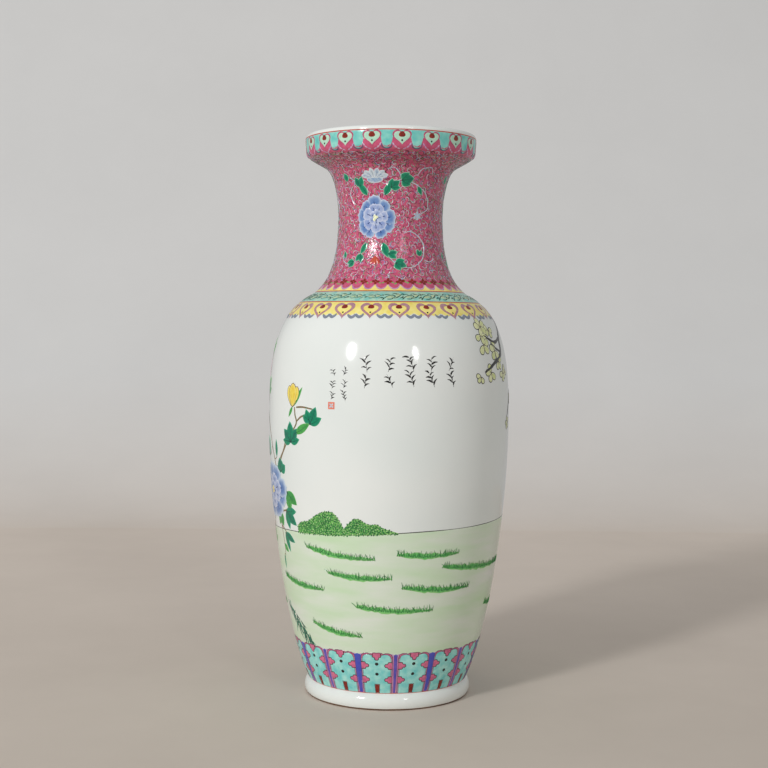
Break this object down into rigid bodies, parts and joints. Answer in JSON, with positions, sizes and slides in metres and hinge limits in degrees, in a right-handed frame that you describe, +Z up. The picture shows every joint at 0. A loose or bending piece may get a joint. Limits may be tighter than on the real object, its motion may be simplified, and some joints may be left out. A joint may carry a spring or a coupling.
{
  "type": "porcelain floor vase",
  "caption": "Tall baluster porcelain vase with a waisted neck, dished mouth collar, painted enamel bands and a turned foot ring.",
  "frame": {"origin": "centre of the foot ring, on the plane it stands on", "axes": "+Z up along the turning axis towards the mouth; the front, with the neck's blue flower, faces -Y; +X to the viewer's right"},
  "size_m": [0.263, 0.263, 0.61],
  "materials": {
    "glazed_porcelain": "gloss",
    "slip": "matte",
    "red_enamel": "gloss",
    "turquoise_enamel": "gloss",
    "pale_green_enamel": "gloss",
    "yellow_enamel": "gloss",
    "rose_enamel": "gloss"
  },
  "bodies": {
    "root": {"foot_ring": "glazed_porcelain", "floor_slab": "glazed_porcelain", "lower_body": "glazed_porcelain", "upper_body": "glazed_porcelain", "neck": "glazed_porcelain", "mouth_collar": "glazed_porcelain", "foot_luting": "slip", "base_luting": "slip", "belly_luting": "slip", "shoulder_luting": "slip", "collar_luting": "slip", "foot_line_enamel": "red_enamel", "lip_line_enamel": "red_enamel", "lappet_band_enamel": "turquoise_enamel", "shoulder_turquoise_enamel": "turquoise_enamel", "mouth_band_enamel": "turquoise_enamel", "meadow_enamel": "pale_green_enamel", "shoulder_yellow_enamel": "yellow_enamel", "yellow_line_enamel": "yellow_enamel", "neck_rose_enamel": "rose_enamel", "collar_rose_enamel": "rose_enamel"}
  },
  "joints": []
}
